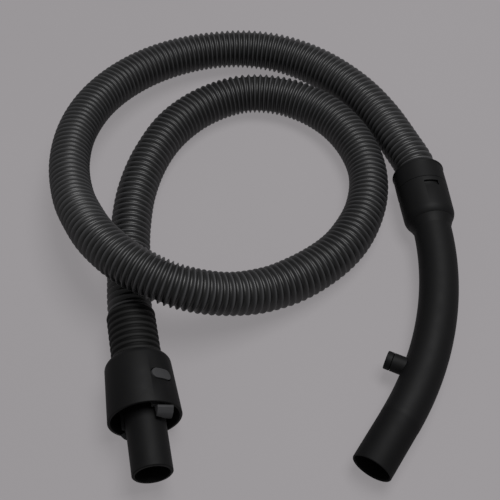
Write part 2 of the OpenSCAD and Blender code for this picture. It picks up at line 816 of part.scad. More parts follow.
hose();
strain_relief_cuff();
machine_nipple();
machine_swivel_clip();
machine_seal_ring();
connector_barrel();
spigot_tube();
latch(latch_angles[0], 1);  // release_latch_right
latch(latch_angles[1], -1);  // release_latch_left
latch_pin(latch_angles[0]);  // latch_pin_right
latch_pin(latch_angles[1]);  // latch_pin_left
latch_spring(latch_angles[0]);  // latch_spring_right
latch_spring(latch_angles[1]);  // latch_spring_left
handle_nipple();
handle_swivel_clip();
handle_seal_ring();
swivel_collar();
handle_socket();
handle_tube();
vent_knob();
vent_spring();
vent_valve_disc();
vent_clip();
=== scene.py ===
# %% [markdown]
# # A vacuum cleaner hose and its two fittings
# The hose lies on a table in a loop and a half. One end goes into a push-in connector with release
# latches, the other into a curved handle tube. The frame brings the rigid construction, at its real
# size and place, and this lesson makes the surfaces that show. Lengths below are written in
# millimetres and turned into Blender's metres by MM.

# %% Load the frame
import json
import math

import bpy
from mathutils import Matrix, Vector


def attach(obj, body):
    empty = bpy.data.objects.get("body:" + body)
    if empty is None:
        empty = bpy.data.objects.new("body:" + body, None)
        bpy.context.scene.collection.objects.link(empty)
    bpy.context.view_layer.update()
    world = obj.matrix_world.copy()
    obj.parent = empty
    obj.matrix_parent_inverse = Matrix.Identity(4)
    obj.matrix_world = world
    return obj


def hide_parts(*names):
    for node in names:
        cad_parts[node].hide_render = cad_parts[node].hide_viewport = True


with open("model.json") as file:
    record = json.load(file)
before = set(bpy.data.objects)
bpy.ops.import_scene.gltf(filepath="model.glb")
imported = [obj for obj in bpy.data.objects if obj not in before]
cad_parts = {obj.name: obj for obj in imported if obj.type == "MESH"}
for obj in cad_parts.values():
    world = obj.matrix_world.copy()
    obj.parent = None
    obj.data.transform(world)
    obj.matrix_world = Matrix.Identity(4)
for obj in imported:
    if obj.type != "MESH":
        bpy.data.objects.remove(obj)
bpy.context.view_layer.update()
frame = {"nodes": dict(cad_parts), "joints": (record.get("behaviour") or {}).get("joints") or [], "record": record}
MM = 0.001
joints = {joint["name"]: joint for joint in frame["joints"]}

# %% [markdown]
# ## Camera
# The photograph looks down at the table at 55 degrees with a moderate lens. The camera stands where
# the four corners of the object line up with the picture, so nothing has to be shifted.

# %% Camera
CAMERA_PLACE = Vector((-34, -406.3, 694.5)) * MM
CAMERA_DOWN = 55
CAMERA_LENS, CAMERA_SENSOR = 64.8, 36

camera_data = bpy.data.cameras.new("camera")
camera_data.lens = CAMERA_LENS
camera_data.sensor_width = CAMERA_SENSOR
camera = bpy.data.objects.new("camera", camera_data)
camera.location = CAMERA_PLACE
camera.rotation_euler = (math.radians(90 - CAMERA_DOWN), 0, 0)
bpy.context.scene.collection.objects.link(camera)
bpy.context.scene.camera = camera
print("camera at", [round(x, 3) for x in camera.location])

# %% [markdown]
# ## Where the two fittings sit
# Each fitting turns on the hose, so its swivel's axis is also the axis of its round shapes. A seat is
# the matrix that carries a piece modelled upright round Z to its place: Z runs along the swivel, X
# lies level and Y points up.

# %% Seats of the fittings
SOCKET_LEN = 59


def seat(place, along):
    """The matrix whose Z runs along a direction and whose X lies level."""
    along = Vector(along).normalized()
    right = Vector((0, 0, 1)).cross(along).normalized()
    up = along.cross(right)
    turn = Matrix((right, up, along)).transposed().to_4x4()
    return Matrix.Translation(place) @ turn


connector_axis = Vector(joints["connector_swivel"]["axis"]).normalized()
connector_place = Vector(joints["connector_swivel"]["pos_m"])
handle_axis = Vector(joints["handle_swivel"]["axis"]).normalized()
handle_place = Vector(joints["handle_swivel"]["pos_m"]) - handle_axis * SOCKET_LEN * MM
connector_seat = seat(connector_place, connector_axis)
handle_seat = seat(handle_place, handle_axis)
print("connector at", [round(x, 3) for x in connector_place], "handle at", [round(x, 3) for x in handle_place])

# %% [markdown]
# ## The hose
# The hose is blown vinyl with closed round ribs. It could be a curve with a bevelled profile, but a
# curve has no ribs, so it is a mesh tube: rings of points are set along one smooth line, a few to a
# rib, and a second, plainer wall inside gives it a bore. The line starts on the flange inside the
# connector, leaves the cuff, turns round once on the table and climbs over its own start. There it is
# too stiff to drop at once: it comes down slowly outside the first turn, on its way to the handle.

# %% The hose's line
HOSE_D = 39
HOSE_LIES = HOSE_D / 2 + 0.2
CUFF_LEN = 48
HOSE_IN_CUFF = 38
HOSE_IN_HANDLE = 29
SPAN_STEPS = 24
# Places that the hose passes: across, away, and how far above its rest on the table.
ROUTE = [
    (-143, 45, 1), (-145, 90, 0), (-142.5, 134, 0), (-131.5, 177.5, 0), (-111, 217.5, 0),
    (-79, 248, 0), (-39, 264.5, 0), (5, 259.5, 0), (44, 235.5, 0), (69.5, 199, 0), (80.5, 157, 0),
    (74.5, 113, 0), (53.5, 72.5, 0), (22, 43, 1), (-16, 20, 7), (-56, 5, 22), (-97, 2.5, 39),
    (-135, 18.5, 46), (-163.5, 44.5, 45), (-181.5, 73, 40), (-195, 104, 34), (-203.5, 145, 29),
    (-202, 190, 24), (-188, 234, 19), (-162.5, 272, 14), (-127.5, 301.5, 10), (-85, 321.5, 6),
    (-40, 329, 3), (2, 322.5, 1), (40, 302.5, 0), (73, 271, 0), (98, 233, 1), (115, 192, 4)]


def hermite(p, q, a, b, t):
    """The point at t, from 0 to 1, on a curve from p to q that leaves along a and arrives along b."""
    return (
        (2 * t**3 - 3 * t**2 + 1) * p + (t**3 - 2 * t**2 + t) * a
        + (3 * t**2 - 2 * t**3) * q + (t**3 - t**2) * b)


def hose_line():
    """Points along the hose's middle, from the connector's flange to the handle's."""
    cuff_mouth = connector_place - connector_axis * CUFF_LEN * MM
    free = [Vector((x, y, HOSE_LIES + rise)) * MM for x, y, rise in ROUTE]
    knots = [cuff_mouth] + free + [handle_place]
    ways = [(knots[i + 1] - knots[i - 1]) / 2 for i in range(1, len(knots) - 1)]
    ways.insert(0, -connector_axis * (knots[1] - knots[0]).length)
    ways.append(handle_axis * (knots[-1] - knots[-2]).length)
    line = [cuff_mouth + connector_axis * HOSE_IN_CUFF * MM]
    for i in range(len(knots) - 1):
        for k in range(SPAN_STEPS):
            line.append(hermite(knots[i], knots[i + 1], ways[i], ways[i + 1], k / SPAN_STEPS))
    line += [handle_place, handle_place + handle_axis * HOSE_IN_HANDLE * MM]
    return line


def run_of(line):
    """The distance along a line at each of its points."""
    run = [0.0]
    for p, q in zip(line, line[1:]):
        run.append(run[-1] + (q - p).length)
    return run


def spread(line, run, places):
    """Points and directions on a line at rising distances along it."""
    found, i = [], 0
    for s in places:
        while i < len(run) - 2 and run[i + 1] < s:
            i += 1
        share = (s - run[i]) / (run[i + 1] - run[i])
        found.append(line[i].lerp(line[i + 1], share))
    last = len(found) - 1
    ways = [(found[min(k + 1, last)] - found[max(k - 1, 0)]).normalized() for k in range(len(found))]
    return found, ways


middle = hose_line()
middle_run = run_of(middle)
hose_length = middle_run[-1]
print("hose line:", round(hose_length, 3), "m")

# %% [markdown]
# ## Ribs and bore
# A hose of this kind isn't the same all along: where it is pulled, its ribs stand further apart and it
# is a little slimmer. An array modifier would repeat one rib evenly, so the rings are counted out
# instead: the rib has one shape, given as radii over one pitch, and lists of pitches and girths stretch
# and swell it along the run. Each point's height on its rib is kept for the shade painted in the grooves.

# %% The shape, spacing and girth of the ribs
# Radii over one pitch, from groove to groove.
RIB_SHAPE = [
    (0.0, 16.8), (0.16, 16.9), (0.30, 18.0), (0.41, 19.1),
    (0.5, 19.4), (0.59, 19.1), (0.70, 18.0), (0.84, 16.9)]
BORE_SHAPE = [(0.0, 16.6), (0.5, 16.6)]
# Pitches, and shares of the full girth, at distances along the hose.
PITCHES = [
    (0, 6.2), (180, 6.2), (290, 5.65), (350, 5.45), (600, 5.55), (650, 5.7), (730, 6.5), (770, 5.9),
    (812, 4.8), (850, 5.0), (890, 5.65), (930, 6.3), (970, 6.0), (1050, 5.75), (1170, 5.55), (1250, 5.4),
    (1330, 5.55), (1400, 5.85), (1450, 6.3), (1700, 6.3)]
GIRTHS = [
    (0, 1.0), (100, 1.0), (135, 0.965), (225, 0.97), (280, 1.025), (440, 1.03), (500, 1.0),
    (540, 0.97), (580, 0.985), (620, 1.03), (690, 1.07), (720, 1.035), (760, 0.985), (860, 1.01),
    (920, 0.99), (980, 0.975), (1020, 0.98), (1080, 1.0), (1160, 1.015), (1240, 1.0), (1300, 1.05),
    (1420, 1.05), (1490, 1.0), (1700, 1.0)]


def along(table, place):
    """A value from a table at a distance along the hose, passing smoothly from one entry to the next."""
    for (start, first), (end, last) in zip(table, table[1:]):
        if place <= end * MM:
            share = (place / MM - start) / (end - start)
            return first + (last - first) * share * share * (3 - 2 * share)
    return table[-1][1]


rib_starts = [0.0]
while rib_starts[-1] < hose_length:
    rib_starts.append(rib_starts[-1] + along(PITCHES, rib_starts[-1]) * MM)
rib_starts = [place * hose_length / rib_starts[-1] for place in rib_starts]
print("hose:", len(rib_starts) - 1, "ribs")

# %% The hose's ribs and bore
HOSE_SIDES = 32


def ribbed_wall(shape):
    """Rings of points along the hose for one wall, and their middles, from the shape of a single rib.

    The crests that would dip into the table lie flat on it."""
    ribs = list(zip(rib_starts, rib_starts[1:]))
    places = [start + share * (end - start) for start, end in ribs for share, _ in shape] + [hose_length]
    radii = [r * MM for _ in ribs for _, r in shape] + [shape[0][1] * MM]
    points, ways = spread(middle, middle_run, places)
    angles = [2 * math.pi * k / HOSE_SIDES for k in range(HOSE_SIDES)]
    rings = []
    for place, point, way, radius in zip(places, points, ways, radii):
        side = way.cross(Vector((0, 0, 1))).normalized()
        up = side.cross(way)
        radius *= along(GIRTHS, place)
        ring = [point + radius * (math.cos(a) * side + math.sin(a) * up) for a in angles]
        rings.append([Vector((p.x, p.y, max(p.z, 0))) for p in ring])
    return rings, points


def band(lower, upper):
    """Faces between two rings of the same point list, given by their first points."""
    turn = [(k, (k + 1) % HOSE_SIDES) for k in range(HOSE_SIDES)]
    return [(lower + k, lower + n, upper + n, upper + k) for k, n in turn]


outer, rib_middles = ribbed_wall(RIB_SHAPE)
bore, _ = ribbed_wall(BORE_SHAPE)
outer_starts = [i * HOSE_SIDES for i in range(len(outer))]
bore_starts = [(len(outer) + i) * HOSE_SIDES for i in range(len(bore))]
faces = []
for lower, upper in zip(outer_starts, outer_starts[1:]):
    faces += band(lower, upper)
for lower, upper in zip(bore_starts, bore_starts[1:]):
    faces += band(upper, lower)
faces += band(bore_starts[0], outer_starts[0]) + band(outer_starts[-1], bore_starts[-1])
hose_mesh = bpy.data.meshes.new("hose_ribbed")
hose_mesh.from_pydata([p for ring in outer + bore for p in ring], [], faces)
hose = bpy.data.objects.new("hose_ribbed", hose_mesh)
bpy.context.scene.collection.objects.link(hose)
hose_mesh.polygons.foreach_set("use_smooth", [True] * len(hose_mesh.polygons))
print("hose:", len(hose_mesh.polygons), "faces")

# %% The height of each point on its rib


def mark_heights(mesh, heights):
    """Keeps each point's height on its rib, from 0 in the groove to 1 on the crest, for the shade painted in the
    grooves.
    """
    rib_height = mesh.attributes.new("rib_height", "FLOAT", "POINT")
    rib_height.data.foreach_set("value", heights)
    print("rib heights on", len(rib_height.data), "points of", mesh.name)


rib_low, rib_high = RIB_SHAPE[0][1], max(r for _, r in RIB_SHAPE)
rib_heights = [(r - rib_low) / (rib_high - rib_low) for _, r in RIB_SHAPE]
ring_heights = rib_heights * (len(rib_starts) - 1) + [0.0] * (1 + len(bore))
# The hose's grooves get painted shade from these heights: near black at 0, the vinyl's own colour at 1.
mark_heights(hose_mesh, [h for h in ring_heights for _ in range(HOSE_SIDES)])

# %% The hose in the frame
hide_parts("hose")
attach(hose, "hose_line")

# %% [markdown]
# ## Turned shapes
# Nearly everything on the two fittings is round. On a lathe it would be turned from an outline, and
# here it is much the same: a ring of points is extruded from one outline point to the next and scaled
# to that point's radius. The Screw modifier could do it too, but it needs the outline as a mesh first.

# %% Turning a piece
WELD = 0.000001
pieces = {}


def turned(name, outline, sides=120, ring=True):
    """A shape turned round Z from the (radius, height) points of its outline, in millimetres."""
    bpy.ops.object.select_all(action="DESELECT")
    radius, height = outline[0]
    bpy.ops.mesh.primitive_circle_add(vertices=sides, radius=radius * MM, location=(0, 0, height * MM))
    piece = bpy.context.object
    piece.name = piece.data.name = name
    bpy.ops.object.transform_apply(location=True, rotation=True, scale=True)
    bpy.ops.object.mode_set(mode="EDIT")
    bpy.ops.mesh.select_all(action="SELECT")
    for next_radius, next_height in outline[1:] + outline[:1] * ring:
        rise = (0, 0, (next_height - height) * MM)
        bpy.ops.mesh.extrude_edges_move(TRANSFORM_OT_translate={"value": rise})
        grow = next_radius / radius
        bpy.ops.transform.resize(value=(grow, grow, 1), center_override=(0, 0, next_height * MM))
        radius, height = next_radius, next_height
    bpy.ops.mesh.select_all(action="SELECT")
    bpy.ops.mesh.remove_doubles(threshold=WELD)
    if not ring:
        bpy.ops.mesh.fill_holes(sides=0)
    bpy.ops.mesh.normals_make_consistent(inside=False)
    bpy.ops.object.mode_set(mode="OBJECT")
    return piece


def arc(radius, height, bow, start, end, steps):
    """Outline points on a circle round (radius, height), from one angle to another in degrees."""
    turns = [math.radians(start + (end - start) * i / steps) for i in range(steps + 1)]
    return [(radius + bow * math.cos(t), height + bow * math.sin(t)) for t in turns]


# %% Finishing a piece
SMOOTH_SOFT, SMOOTH_CRISP = math.radians(40), math.radians(32)


def choose(piece):
    """Make a piece the only one selected, and the active one."""
    bpy.ops.object.select_all(action="DESELECT")
    piece.select_set(True)
    bpy.context.view_layer.objects.active = piece


def apply_all(piece):
    """Apply a piece's modifiers, in order."""
    choose(piece)
    for modifier in list(piece.modifiers):
        bpy.ops.object.modifier_apply(modifier=modifier.name)


def soften(piece, width, segments=3, angle=35):
    """Round a piece's edges and smooth its shading."""
    bevel = piece.modifiers.new("soft_edges", "BEVEL")
    bevel.width = width * MM
    bevel.segments = segments
    bevel.limit_method = "ANGLE"
    bevel.angle_limit = math.radians(angle)
    apply_all(piece)
    bpy.ops.object.shade_smooth_by_angle(angle=SMOOTH_SOFT)


def carve(piece, tool, how="DIFFERENCE"):
    """Cut a tool out of a piece, keep what they share, or fuse them. The tool is used up."""
    boolean = piece.modifiers.new("carve", "BOOLEAN")
    boolean.operation = how
    boolean.solver = "EXACT"
    boolean.object = tool
    apply_all(piece)
    bpy.data.objects.remove(tool)


def settle(piece, place):
    """Carry a piece to its place and leave the place in its mesh."""
    choose(piece)
    piece.matrix_world = place
    bpy.ops.object.transform_apply(location=True, rotation=True, scale=True)


def hand_over(piece, node, body, slot):
    """Let a finished piece stand for a node of the frame."""
    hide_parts(node)
    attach(piece, body)
    pieces[piece] = slot
    print(piece.name, len(piece.data.polygons), "faces")


# %% [markdown]
# ## Strain relief cuff
# A stack of rings
# would need joining, so one outline is turned: a row of round ribs with flat grooves between, closed
# by a plain bore. The shade in the grooves is painted into the colour, so the heights are kept here too.

# %% Strain relief cuff
CUFF_BORE, CUFF_GROOVE, CUFF_CREST = 19.7, 19.95, 21.0
CUFF_PITCH, CUFF_RIBS = 6, 8
RIB_ROUND, RIB_ARC, RIB_HALF = 2.5, 54, 2.4
COLLAR_STEP, CUFF_COLLAR, CUFF_END = 0.5, 20.6, 3.4

cuff_outline = [(CUFF_BORE, -CUFF_LEN), (CUFF_GROOVE, -CUFF_LEN)]
for i in range(CUFF_RIBS):
    rib_at = -CUFF_LEN + (i + 0.5) * CUFF_PITCH
    cuff_outline += arc(CUFF_CREST - RIB_ROUND, rib_at, RIB_ROUND, -RIB_ARC, RIB_ARC, 12)
    cuff_outline += [(CUFF_GROOVE, rib_at + RIB_HALF), (CUFF_GROOVE, rib_at + CUFF_PITCH - RIB_HALF)]
cuff_outline[-1] = (CUFF_GROOVE, -COLLAR_STEP)
cuff_outline += [(CUFF_COLLAR, 0), (CUFF_COLLAR, CUFF_END), (CUFF_BORE, CUFF_END)]
cuff = turned("cuff_ribbed", cuff_outline)
soften(cuff, 0.12, 2, 50)
cuff_radii = [math.hypot(point.co.x, point.co.y) / MM for point in cuff.data.vertices]
# Heights for the shade painted into the cuff's grooves: 0 in a groove, 1 on a crest.
mark_heights(cuff.data, [max(0.0, (r - CUFF_GROOVE) / (CUFF_CREST - CUFF_GROOVE)) for r in cuff_radii])
settle(cuff, connector_seat)
hand_over(cuff, "strain_relief_cuff", "hose_line", "cuff_rubber")

# %% [markdown]
# ## Connector barrel
# The barrel is a thin shell: a rounded shoulder behind, straight flared sides, and an open mouth that
# goes over the machine's inlet. It has one oval window for each latch's button. The shell is turned
# with its hollow in one outline, and the windows are cut by oval blocks.

# %% Oval blocks
BUTTON_W, BUTTON_L, BUTTON_AT = 18, 9.3, 27.8
LATCH_ANGLES = {"right": 41, "left": 221}


def pick(piece, wanted):
    """Go into edit mode with only those points of a piece selected that pass a test."""
    choose(piece)
    bpy.ops.object.mode_set(mode="EDIT")
    bpy.ops.mesh.select_mode(type="VERT")
    bpy.ops.mesh.select_all(action="DESELECT")
    bpy.ops.object.mode_set(mode="OBJECT")
    for point in piece.data.vertices:
        point.select = wanted(point.co)
    bpy.ops.object.mode_set(mode="EDIT")


def push(piece, wanted, move):
    """Move the points of a piece that pass a test, by a vector in millimetres."""
    pick(piece, wanted)
    bpy.ops.transform.translate(value=Vector(move) * MM)
    bpy.ops.object.mode_set(mode="OBJECT")


def oval_block(name, width, length, low, high):
    """A block with round ends that stands on the side of a barrel, from one radius to another."""
    bpy.ops.object.select_all(action="DESELECT")
    middle_height = (low + high) / 2 * MM
    bpy.ops.mesh.primitive_cylinder_add(
        vertices=64, radius=length / 2 * MM, depth=(high - low) * MM, location=(0, 0, middle_height))
    block = bpy.context.object
    block.name = name
    bpy.ops.object.transform_apply(location=True, rotation=True, scale=True)
    push(block, lambda p: p.x > WELD, ((width - length) / 2, 0, 0))
    push(block, lambda p: p.x < -WELD, ((length - width) / 2, 0, 0))
    settle(block, Matrix.Translation((0, 0, BUTTON_AT * MM)) @ Matrix.Rotation(math.radians(-90), 4, "X"))
    return block


def round_to(angle):
    """The turn about a fitting's axis that brings its top to an angle, clockwise seen from its end."""
    return Matrix.Rotation(math.radians(-angle), 4, "Z")


# %% Connector barrel
BARREL_LEN = 54
BARREL_SHOULDER = 7
BARREL_REAR, BARREL_MOUTH = 27.75, 30.15
REAR_HOLE, REAR_WALL = 21.0, 4
REAR_IN, MOUTH_IN = 25.35, 27.7
MOUTH_LIP, MOUTH_EDGE = 0.8, 0.25
WINDOW_ROOM = 0.8

barrel_outline = [(REAR_HOLE, REAR_WALL), (REAR_HOLE, 0.02)]
barrel_outline += arc(BARREL_REAR - BARREL_SHOULDER, BARREL_SHOULDER, BARREL_SHOULDER, -84, 0, 12)
barrel_outline += [
    (BARREL_MOUTH, BARREL_LEN - MOUTH_LIP), (BARREL_MOUTH - MOUTH_EDGE, BARREL_LEN - MOUTH_EDGE),
    (BARREL_MOUTH - MOUTH_LIP, BARREL_LEN), (MOUTH_IN + MOUTH_EDGE, BARREL_LEN), (MOUTH_IN, BARREL_LEN - 0.3),
    (REAR_IN, REAR_WALL)]
barrel = turned("barrel_shell", barrel_outline, 160)
for angle in LATCH_ANGLES.values():
    window = oval_block("window", BUTTON_W + 2 * WINDOW_ROOM, BUTTON_L + 2 * WINDOW_ROOM, 10, 40)
    settle(window, round_to(angle))
    carve(barrel, window)
soften(barrel, 0.3, 2, 45)
settle(barrel, connector_seat)
hand_over(barrel, "connector_barrel", "connector", "black_plastic")

# %% [markdown]
# ## Release latches
# Each latch is a curved arm inside the barrel, hinged at its rear. Its oval button comes out through
# the window, level with the barrel's side, and its nose hooks over the inlet's rim. The arm is a turned
# ring, cut down to a sector by two bisecting planes and narrowed in front by two blocks. The button is
# what an oval block shares with a cone, so its top follows the barrel. The nose is a short block whose
# front face is extruded a few times, and whose new top edge is pushed down each time, first for a fine
# step, then for the ramp and its tip.

# %% The arm of a latch
LATCH_IN, LATCH_OUT, LATCH_HALF = 19.85, 22.65, 21
ARM_START, ARM_END = 17, 57
CORNER, CORNER_PLACE = 10, Vector((9.5, 21, 58.5))
PIVOT_R, PIVOT_AT = 21.25, 13
HUB_BORE, HUB_R, HUB_HALF = 1.05, 2, 5
WEB_SIZE, WEB_AT = (10, 2, 3.6), 16.2

arm = turned("latch_moulded_right", [
    (LATCH_IN, ARM_START), (LATCH_OUT, ARM_START), (LATCH_OUT, ARM_END), (LATCH_IN, ARM_END)], 240)
choose(arm)
bpy.ops.object.mode_set(mode="EDIT")
for side in (-1, 1):
    bpy.ops.mesh.select_all(action="SELECT")
    across = math.radians(LATCH_HALF)
    bpy.ops.mesh.bisect(
        plane_co=(0, 0, 0), plane_no=(side * math.cos(across), -math.sin(across), 0),
        use_fill=True, clear_outer=True)
bpy.ops.object.mode_set(mode="OBJECT")
for side in (-1, 1):
    bpy.ops.object.select_all(action="DESELECT")
    corner_place = CORNER_PLACE * Vector((side, 1, 1)) * MM
    bpy.ops.mesh.primitive_cube_add(size=CORNER * MM, location=corner_place)
    carve(arm, bpy.context.object)
soften(arm, 0.35, 3, 40)

hub = turned("hub", [(HUB_BORE, -HUB_HALF), (HUB_R, -HUB_HALF), (HUB_R, HUB_HALF), (HUB_BORE, HUB_HALF)], 32)
settle(hub, Matrix.Translation((0, PIVOT_R * MM, PIVOT_AT * MM)) @ Matrix.Rotation(math.radians(90), 4, "Y"))
bpy.ops.object.select_all(action="DESELECT")
bpy.ops.mesh.primitive_cube_add(size=MM, location=(0, PIVOT_R * MM, WEB_AT * MM))
web = bpy.context.object
web.scale = WEB_SIZE
bpy.ops.object.transform_apply(location=True, rotation=True, scale=True)
soften(web, 0.2, 2, 40)
print("latch arm:", len(arm.data.polygons), "faces")

# %% The button and the nose of a latch
NOSE_W, NOSE_DEEP, NOSE_TOP, NOSE_TURN = 13.2, 8.5, 27.35, 18
NOSE_AT, NOSE_FLAT = 55, 2.4
# How far the nose reaches on, and drops, at each step.
NOSE_STEPS = [(0.15, 0.35), (2.6, 1.9), (1.2, 1.9), (1.0, 2.9)]
BUTTON_PROUD, BUTTON_FOOT, BUTTON_BLANK = 0.8, 21, 34

button = oval_block("button", BUTTON_W, BUTTON_L, BUTTON_FOOT, BUTTON_BLANK)
carve(button, turned("button_top", [
    (BARREL_REAR + BUTTON_PROUD, BARREL_SHOULDER), (BARREL_MOUTH + BUTTON_PROUD, BARREL_LEN)],
    240, ring=False), "INTERSECT")
soften(button, 0.7, 4, 50)

bpy.ops.object.select_all(action="DESELECT")
nose_middle = Vector((0, -NOSE_DEEP / 2, NOSE_AT + NOSE_FLAT / 2)) * MM
bpy.ops.mesh.primitive_cube_add(size=MM, location=nose_middle)
nose = bpy.context.object
nose.scale = (NOSE_W, NOSE_DEEP, NOSE_FLAT)
bpy.ops.object.transform_apply(location=True, rotation=True, scale=True)
front = NOSE_AT + NOSE_FLAT
for reach, drop in NOSE_STEPS:
    pick(nose, lambda p: p.z > (front - 0.01) * MM)
    bpy.ops.mesh.extrude_region_move(TRANSFORM_OT_translate={"value": (0, 0, reach * MM)})
    bpy.ops.object.mode_set(mode="OBJECT")
    front += reach
    push(nose, lambda p: p.z > (front - 0.01) * MM and p.y > (0.1 - NOSE_DEEP) * MM, (0, -drop, 0))
soften(nose, 0.3, 3, 25)
print("button:", len(button.data.polygons), "faces, nose:", len(nose.data.polygons), "faces")

# %% Both latches
HOOK_IN = LATCH_IN + 0.4


def copy_of(piece, name):
    """A copy of a piece with a mesh of its own."""
    twin = piece.copy()
    twin.data = piece.data.copy()
    twin.name = twin.data.name = name
    bpy.context.scene.collection.objects.link(twin)
    return twin


choose(arm)
for part in (button, hub, web):
    part.select_set(True)
bpy.ops.object.join()
for side, latch, hand in (("right", arm, 1), ("left", copy_of(arm, "latch_moulded_left"), -1)):
    hook = copy_of(nose, "hook")
    lean = Matrix.Rotation(math.radians(hand * NOSE_TURN), 4, "Z")
    settle(hook, Matrix.Translation((0, NOSE_TOP * MM, 0)) @ lean)
    carve(hook, turned("inside", [(HOOK_IN, NOSE_AT - 5), (HOOK_IN, NOSE_AT + 15)], 240, ring=False))
    choose(latch)
    hook.select_set(True)
    bpy.ops.object.join()
    settle(latch, connector_seat @ round_to(LATCH_ANGLES[side]))
    hand_over(latch, "release_latch_" + side, "latch_" + side, "grey_plastic")
bpy.data.objects.remove(nose)

# %% [markdown]
# ## Swivel collar
# The hose enters the handle through a collar with a beaded rim. Behind the rim it runs into the socket
# and snaps there with three tabs, beside which the windows show as dark slots. The collar is turned,
# and each tab is the part of a block that lies inside a cylinder, so its face is as round as the collar.

# %% Blocks over the snap windows
WINDOW_W, WINDOW_L, WINDOW_T = 13.7, 5.3, 25.6
WINDOW_ANGLES = [9, 129, 249]
COLLAR_BORE, SKIRT_R, COLLAR_R = 20.1, 21.5, 24.0
COLLAR_LEN, SKIRT_END = 20.7, 33.2


def snap_block(name, gap, low, high):
    """A block that stands on the top of the socket where a snap window is, smaller by a gap all round."""
    bpy.ops.object.select_all(action="DESELECT")
    block_middle = Vector((0, (low + high) / 2, WINDOW_T + WINDOW_L / 2)) * MM
    bpy.ops.mesh.primitive_cube_add(size=1, location=block_middle)
    block = bpy.context.object
    block.name = name
    block.scale = ((WINDOW_W - 2 * gap) * MM, (high - low) * MM, (WINDOW_L - 2 * gap) * MM)
    bpy.ops.object.transform_apply(location=True, rotation=True, scale=True)
    return block


# %% Swivel collar
BEAD_ROUND, BEAD_PROUD, BEAD_END = 1.6, 0.6, 3.3
COLLAR_EDGE = 0.3
TAB_GAP, TAB_R, TAB_SHORT = 0.3, 22.5, 2.4

collar_outline = [(COLLAR_BORE, BEAD_PROUD), (COLLAR_BORE + BEAD_PROUD, 0)]
collar_outline += arc(COLLAR_R + BEAD_PROUD - BEAD_ROUND, BEAD_ROUND, BEAD_ROUND, -90, 50, 10)
collar_outline += [
    (COLLAR_R, BEAD_END), (COLLAR_R, COLLAR_LEN - COLLAR_EDGE), (COLLAR_R - COLLAR_EDGE, COLLAR_LEN),
    (SKIRT_R, COLLAR_LEN), (SKIRT_R, SKIRT_END), (COLLAR_BORE, SKIRT_END)]
collar = turned("collar_beaded", collar_outline, 160)
tabs = []
for angle in WINDOW_ANGLES:
    tab = snap_block("tab", TAB_GAP, SKIRT_R - 0.5, COLLAR_R + 2)
    push(tab, lambda p: p.z < (WINDOW_T + 1) * MM, (0, 0, TAB_SHORT))
    carve(tab, turned("tab_top", [(TAB_R, 20), (TAB_R, 36)], 240, ring=False), "INTERSECT")
    soften(tab, 0.25, 2, 40)
    settle(tab, round_to(angle))
    tabs.append(tab)
soften(collar, 0.15, 2, 50)
choose(collar)
for tab in tabs:
    tab.select_set(True)
bpy.ops.object.join()
settle(collar, handle_seat)
hand_over(collar, "swivel_collar", "handle", "black_plastic")

# %% [markdown]
# ## Handle socket
# The socket is the thick sleeve behind the collar. Its sides draw in a little and round over at the
# far end onto the tube. It is turned, and the three snap windows are cut out of its wall.

# %% Handle socket
SOCKET_BORE, SOCKET_WIDE, SOCKET_ROUND = 21.6, 23.5, 12.2
SOCKET_GAP, SOCKET_EDGE, SOCKET_STEP = 0.1, 0.35, 33.4
CROWN_AT = 51
NECK_BORE = 17.25

socket_start = COLLAR_LEN + SOCKET_GAP
crown_end = math.degrees(math.asin((SOCKET_LEN - CROWN_AT) / SOCKET_ROUND))
socket_outline = [
    (SOCKET_BORE, socket_start), (COLLAR_R - SOCKET_EDGE, socket_start), (COLLAR_R, socket_start + SOCKET_EDGE)]
socket_outline += arc(SOCKET_WIDE - SOCKET_ROUND, CROWN_AT, SOCKET_ROUND, 0, crown_end, 12)
socket_outline += [(NECK_BORE, SOCKET_LEN), (NECK_BORE, SOCKET_STEP), (SOCKET_BORE, SOCKET_STEP)]
socket = turned("socket_sleeve", socket_outline, 160)
for angle in WINDOW_ANGLES:
    window = snap_block("window", 0, 12, 30)
    settle(window, round_to(angle))
    carve(socket, window)
soften(socket, 0.2, 2, 50)
settle(socket, handle_seat)
hand_over(socket, "handle_socket", "handle", "black_plastic")

# %% [markdown]
# ## Handle tube
# The tube leaves the socket over a short cone, bends through about forty degrees and ends in the plain
# plug that takes the wand. A ring is extruded along the straight parts and spun round the bend's
# centre, which keeps its wall even, and Solidify gives it thickness. A curve with a round bevel would
# do as well, but couldn't change its width where the bend begins.

# %% Handle tube
TUBE_R, BEND_R, TUBE_WALL = 17.2, 17.35, 2
TUBE_START = 46.6
BEND_RADIUS, BEND_ANGLE = 300, 39.4
END_LEN = 46.5
# How far the end reaches on at each step, and how much wider or slimmer it is there.
END_STEPS = [(0.3, TUBE_R / BEND_R), (END_LEN - 1.1, 1), (0.5, 0.985), (0.3, 0.965)]


def on_bend(angle):
    """The place on the tube's middle at an angle round the bend: Z along it, X away from the centre."""
    centre = Vector((-BEND_RADIUS, 0, SOCKET_LEN)) * MM
    turn = Matrix.Rotation(math.radians(-angle), 4, "Y")
    return Matrix.Translation(centre) @ turn @ Matrix.Translation((BEND_RADIUS * MM, 0, 0))


